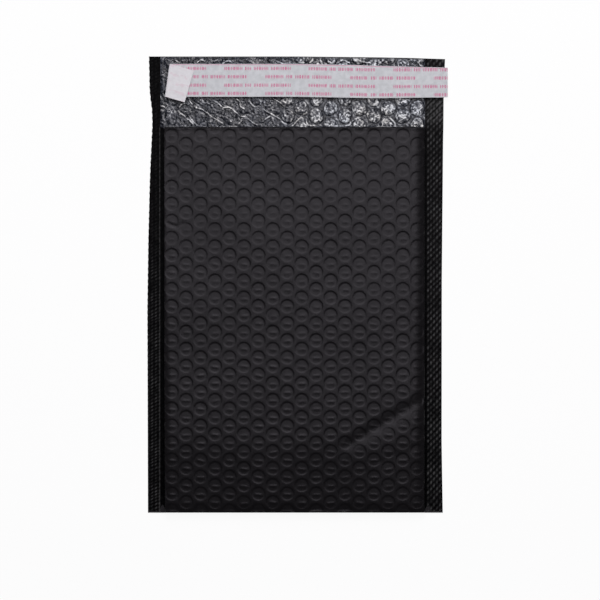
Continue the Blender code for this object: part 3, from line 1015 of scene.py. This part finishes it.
def lining_height(x, y):
    """Upper side of the bubble film on the flap and on the back of the pocket."""
    marks = flap_marks(x, y)
    right = marks.right
    z = LINING_TOP + 0.10 * flap_swell(x, y)
    z += marks.dome * (0.45 + 0.75 * right)
    z += 0.14 * marks.rim - 0.12 * marks.gap
    z += 0.45 * marks.fold_share * bell(marks.fold / 0.6)
    z += 0.16 * flap_fine(x, y) + 0.02 * streaks(x, y) + 0.05 * mottle(x, y)
    z += (0.20 + 0.40 * right) * marks.dome * crumple(x, y)
    edge = np.minimum(x - lining_left(y), lining_right(y) - x)
    edge = np.minimum(edge, flap_end(x) - 0.6 - y)
    return LINING_RIM + (z - LINING_RIM) * ease(edge / 1.6)


def lining_haze_and_highlights(x, y):
    """How hazy the clear film looks, with painted light: painted highlights along folds, rims and
    crumpled bubble tops, painted shade beside the folds, and dark where it touches the black.
    """
    marks = flap_marks(x, y)
    right = marks.right
    tone = 0.25 + 0.14 * right + 0.05 * patches(x, y) + 0.13 * mottle(x, y)
    tone += 0.07 * streaks(x, y) + 0.05 * flap_fine(x, y)
    # Painted highlight along each fold, with painted shade on both sides of it.
    line = 0.85 * bell(marks.fold / 0.42) - 0.4 * bell((np.abs(marks.fold) - 0.95) / 0.4)
    tone += marks.fold_share * line - 0.08 * (1 - right) * (marks.dome - 0.4)
    # Painted highlights on the bubbles' rims, and darker gaps between bubbles.
    second = ease(0.35 + 0.3 * right + 0.6 * patches(x - 70, y))
    tone += (0.14 + 0.28 * right) * marks.rim * second - (0.12 + 0.36 * right) * marks.gap
    # Painted glints on the crumpled bubble tops, stronger on each bubble's lower side.
    lower = np.clip(0.8 - marks.dy / 7, 0.25, 1.4)
    share = ease((facets(x, y) + 0.02) / 0.28)
    glint = marks.dome * share * lower * (0.35 + 0.65 * marks.bright)
    tone += glint * (0.18 + 0.84 * right)
    # Darker towards the flap's end.
    end = ease((flap_end(x) - y - 0.5) / 5.0)
    return np.clip(tone * (0.7 + 0.3 * end), 0, 1)


def flap_points(step):
    """A grid over the flap, with points along its folds and rings round its bubbles."""
    grid = np.array(grid_points(LINING_LEFT + 0.4, LINING_RIGHT, MOUTH - 4, FLAP_END - 2.4, step))
    extra = [FOLD_PLACES + shift * FOLD_ACROSS for shift in (-0.45, 0.0, 0.45)]
    angles = np.arange(40) * math.tau / 40
    for number, centre in enumerate(FLAP_CENTRES):
        if centre[0] < -8 or centre[1] < MOUTH - 5:
            continue
        shape = bubble_shape(number, angles) * FLAP_SIZE[number] / BUBBLE_RADIUS
        for radius in RING_RADII:
            extra.append(centre + (radius * shape)[:, None]
                         * np.column_stack([np.cos(angles), np.sin(angles)]))
    extra = np.vstack(extra)
    extra = extra[(extra[:, 1] > MOUTH - 3.5) & (extra[:, 1] < FLAP_END - 2.8)]
    number, dx, dy = nearest(grid[:, 0], grid[:, 1], extra)
    return np.vstack([grid[np.hypot(dx, dy) > 0.26], extra])


def make_lining_back():
    border = rectangle(lining_left, lining_right, FOLD + 3, lambda x: flap_end(x) - 0.5, 0.9)
    step = 0.47

    def within(x, y, margin):
        return lining_left(y) + margin < x < lining_right(y) - margin
    top = Sheet(border, within)
    top.add_points(flap_points(step))
    top.add_grid(LINING_LEFT + 4, LINING_RIGHT, MOUTH - 40, MOUTH - 4.4, 1.8)
    top.add_grid(LINING_LEFT + 6, LINING_RIGHT - 4, FOLD + 6, MOUTH - 42, 9)
    under = Sheet(border, within)
    under.add_grid(LINING_LEFT + 6, LINING_RIGHT - 4, FOLD + 6, FLAP_END - 4, 12)
    heights = (lining_height, lambda x, y: np.full_like(x, LINING_UNDER))
    piece = add_sheet("lining_back", top, under, heights, bubble_film, "bubble_lining",
                      70.0)
    add_tone(piece, lining_haze_and_highlights)


def inner_ceiling(x, y):
    """Upper side of the lining under the front film, with a lip that hangs out of the mouth."""
    inset = np.clip((y - MOUTH) / 1.0, 0, 1)
    held = np.minimum(y, MOUTH)
    return front_base(x, held, 0.7) + pressed(x, held) - 1.0 - 0.6 * inset ** 2


def inner_floor(x, y):
    """Bubbles of the front lining, which hang into the pocket."""
    number, dx, dy = nearest(x, y, FRONT_CENTRES)
    dome = ease((BUBBLE_RADIUS - np.hypot(dx, dy)) / 1.5)
    near = ease((y - MOUTH + 45) / 6) * ease((MOUTH - 0.5 - y) / 1.5)
    edge = ease((x - LINING_LEFT - 4) / 4) * ease((LINING_RIGHT - 3 - x) / 4)
    return inner_ceiling(x, y) - 0.16 - 1.9 * dome * near * edge


def lip_tone(x, y):
    """The lip at the mouth glints in a few places."""
    bright = ease((seal_wave(x * 0.9, 0 * y) - 0.45) / 0.4) * ease((y - MOUTH) / 0.2)
    return 0.12 + 0.5 * bright


def make_lining_front():
    left, right = LINING_LEFT + 5.0, LINING_RIGHT - 3.0
    border = rectangle(lambda y: left, lambda y: right, FOLD + 4,
                       lambda x: MOUTH + 0.45 + 0.2 * value_at(seal_wave, x, 0.0), 0.9)
    top = Sheet(border)
    top.add_grid(left + 0.5, right, MOUTH - 3, MOUTH + 0.9, 0.45)
    top.add_grid(left + 1, right, FOLD + 5, MOUTH - 4, 5)
    under = Sheet(border)
    under.add_grid(left + 0.5, right, MOUTH - 36, MOUTH + 0.5, 1.1)
    under.add_grid(left + 1, right, FOLD + 6, MOUTH - 38, 8)
    piece = add_sheet("lining_front", top, under, (inner_ceiling, inner_floor), bubble_film,
                      "bubble_lining", 70.0)
    add_tone(piece, lip_tone)


# Glue and release liner

LINER_LEVEL = 4.45
LINER_THICK = 0.16
LINER_RIGHT_END = 102.1
TAB_FOLD_X = -87.5
TAB_LENGTH = 15.1
TAB_FOLD_RADIUS = 0.24
LINER_ROWS = 14
liner_wave = waves(6, 30.0, 90.0)

GLUE_ENDS = (78.7, -81.3)
GLUE_LOW = 130.2
GLUE_WIDTH = 16.0
GLUE_LEVEL = 3.9
GLUE_THICK = 0.3


def strip(name, rows, columns, place, thick, material, node):
    """A closed strip through places given for each row and column, of even thickness."""
    top = []
    low = []
    for v in rows:
        for u in columns:
            point, facing = place(u, v)
            top.append(point + facing * thick / 2)
            low.append(point - facing * thick / 2)
    verts, faces = close_grid(top, low, len(columns), True)
    return add_piece(name, verts, faces, material, node)


def liner_point(t, v):
    """Place and facing on the liner, t mm along it from its right end and v from low to high."""
    wide = LINER_HIGH - LINER_LOW
    y = LINER_LOW + v * wide
    fold_x = TAB_FOLD_X + (v - 0.5) * wide * math.tan(TAB_ANGLE)
    run = LINER_RIGHT_END - TAB_FOLD_X
    share = t / run
    up = np.array([0.0, 0.0, 1.0])
    if t <= run:
        x = LINER_RIGHT_END + (fold_x - LINER_RIGHT_END) * share
        wave = 0.07 * value_at(liner_wave, x, y)
        y -= LINER_SAG * min(max(x / 50, 0.0), 1.0) + v * LINER_TAPER * max(0.0, (x - 40) / 60)
        y += (1 - v) * 0.5 * max(0.0, (x - 60) / 40)
        return np.array([x, y, LINER_LEVEL + wave * ease((x - fold_x) / 8)]), up
    outward = np.array([-math.cos(TAB_ANGLE), math.sin(TAB_ANGLE), 0.0])
    base = np.array([fold_x, y, LINER_LEVEL])
    angle = (t - run) / TAB_FOLD_RADIUS
    if angle < math.pi:
        shift = outward * math.sin(angle) + up * (1 - math.cos(angle))
        return base + TAB_FOLD_RADIUS * shift, up * math.cos(angle) + outward * math.sin(angle)
    past = t - run - math.pi * TAB_FOLD_RADIUS
    # The far edge of the tab is cut at a right angle to the strip, so it turns with the fold
    slant = (v - 0.5) * wide * math.tan(TAB_ANGLE)
    past = past * (1 + slant / TAB_LENGTH)
    along = np.array([math.sin(TAB_ANGLE), math.cos(TAB_ANGLE), 0.0])
    drift = math.tan(TAB_ANGLE) * past
    raised = 2 * TAB_FOLD_RADIUS + 0.35 * ease(past / TAB_LENGTH)
    return base - outward * past - along * drift + up * raised, -up


def make_liner():
    run = LINER_RIGHT_END - TAB_FOLD_X
    turn = math.pi * TAB_FOLD_RADIUS
    places = np.concatenate([np.linspace(0, run, 96), run + np.linspace(0, turn, 9)[1:],
                             run + turn + np.linspace(0, TAB_LENGTH, 14)[1:]])
    piece = strip("release_liner_sheet", np.linspace(0, 1, LINER_ROWS), places, liner_point,
                  LINER_THICK, liner_paper, "release_liner")
    piece.data.materials.append(tab_paper)
    size = (len(places) - 1) * (LINER_ROWS - 1)
    for polygon in piece.data.polygons[size:2 * size]:
        polygon.material_index = 1


def make_adhesive():
    wobble = waves(6, 8.0, 30.0)

    def place(u, v):
        bend = 0.3 * value_at(wobble, u, 40.0 * v)
        y = GLUE_LOW + GLUE_WIDTH * v + bend * (2 * v - 1)
        return np.array([u, y, GLUE_LEVEL]), np.array([0.0, 0.0, 1.0])
    strip("adhesive_band", np.linspace(0, 1, 7), np.arange(*GLUE_ENDS, -3.0), place, GLUE_THICK,
          glue, "adhesive_strip")


make_front()
make_back()
add_tone(make_seal("seal_left", left_edge, lambda y: front_left(y) + 0.4, False,
                   left_seal_height, crimped_left_shaded), left_seal_painted_light)
add_tone(make_seal("seal_right", right_edge, lambda y: FRONT_RIGHT - 0.4, True,
                   right_seal_height, crimped_right_lit), right_seal_painted_light)
make_lining_back()
make_lining_front()
make_liner()
make_adhesive()


# Studio

FLOOR_HALF = 30.0
FLOOR_WHITE = 0.92
LIGHT_TINT = (1.0, 0.975, 1.02)


def make_floor():
    """A pale floor that keeps the envelope's shadow and is white elsewhere."""
    mesh = bpy.data.meshes.new("floor")
    corners = ((-1, -1), (1, -1), (1, 1), (-1, 1))
    mesh.from_pydata([(x * FLOOR_HALF, y * FLOOR_HALF, 0) for x, y in corners], [],
                     [(0, 1, 2, 3)])
    floor = add_object("floor", mesh)
    floor.location.z = -0.0001
    look = Look("floor")
    look.tree.nodes.remove(look.shader)
    rays = look.node("LightPath").outputs
    shown = look.calc("MAXIMUM", rays["Is Camera Ray"], rays["Is Glossy Ray"],
                      rays["Is Transmission Ray"])
    mix = look.node("MixShader", Fac=look.calc("MULTIPLY", shown, FLOOR_WHITE))
    diffuse = look.node("BsdfDiffuse", Color=(0.9, 0.9, 0.9, 1.0))
    white = look.node("Emission", Strength=1.0)
    look.put(mix.inputs[1], diffuse.outputs["BSDF"])
    look.put(mix.inputs[2], white.outputs["Emission"])
    look.put(look.tree.nodes["Material Output"].inputs["Surface"], mix.outputs["Shader"])
    mesh.materials.append(look.material)


def make_light(name, place, size, radiance, target=None):
    """A softbox of a given radiance that faces down, or the target if one is given."""
    data = bpy.data.lights.new(name, "AREA")
    data.shape = "RECTANGLE"
    data.size, data.size_y = size
    data.energy = radiance * math.pi * size[0] * size[1]
    data.color = LIGHT_TINT
    light = add_object(name, data)
    light.location = place
    if target:
        away = Vector(target) - Vector(place)
        light.rotation_euler = away.to_track_quat("-Z", "Y").to_euler()


def make_studio():
    make_floor()
    make_light("overhead", (0.18, 1.09, 1.3), (1.03, 2.22), 3.15)
    make_light("accent", (-0.25, 0.95, 1.35), (0.25, 0.25), 45.0, (0.0, 0.0, 0.0))
    world = bpy.data.worlds.new("studio")
    bpy.context.scene.world = world
    world.use_nodes = True
    background = world.node_tree.nodes["Background"]
    background.inputs["Color"].default_value = (*LIGHT_TINT, 1)
    background.inputs["Strength"].default_value = 0.10


def make_camera():
    data = bpy.data.cameras.new("camera")
    data.sensor_width = 36.0
    data.lens = 36.0 * CAMERA_HEIGHT / FRAME_SIDE
    data.clip_end = 100.0
    camera = add_object("camera", data)
    camera.location = (FRAME_CENTRE[0] * MM, FRAME_CENTRE[1] * MM, CAMERA_HEIGHT * MM)
    bpy.context.scene.camera = camera


make_studio()
make_camera()
bpy.context.scene.view_settings.view_transform = "Standard"
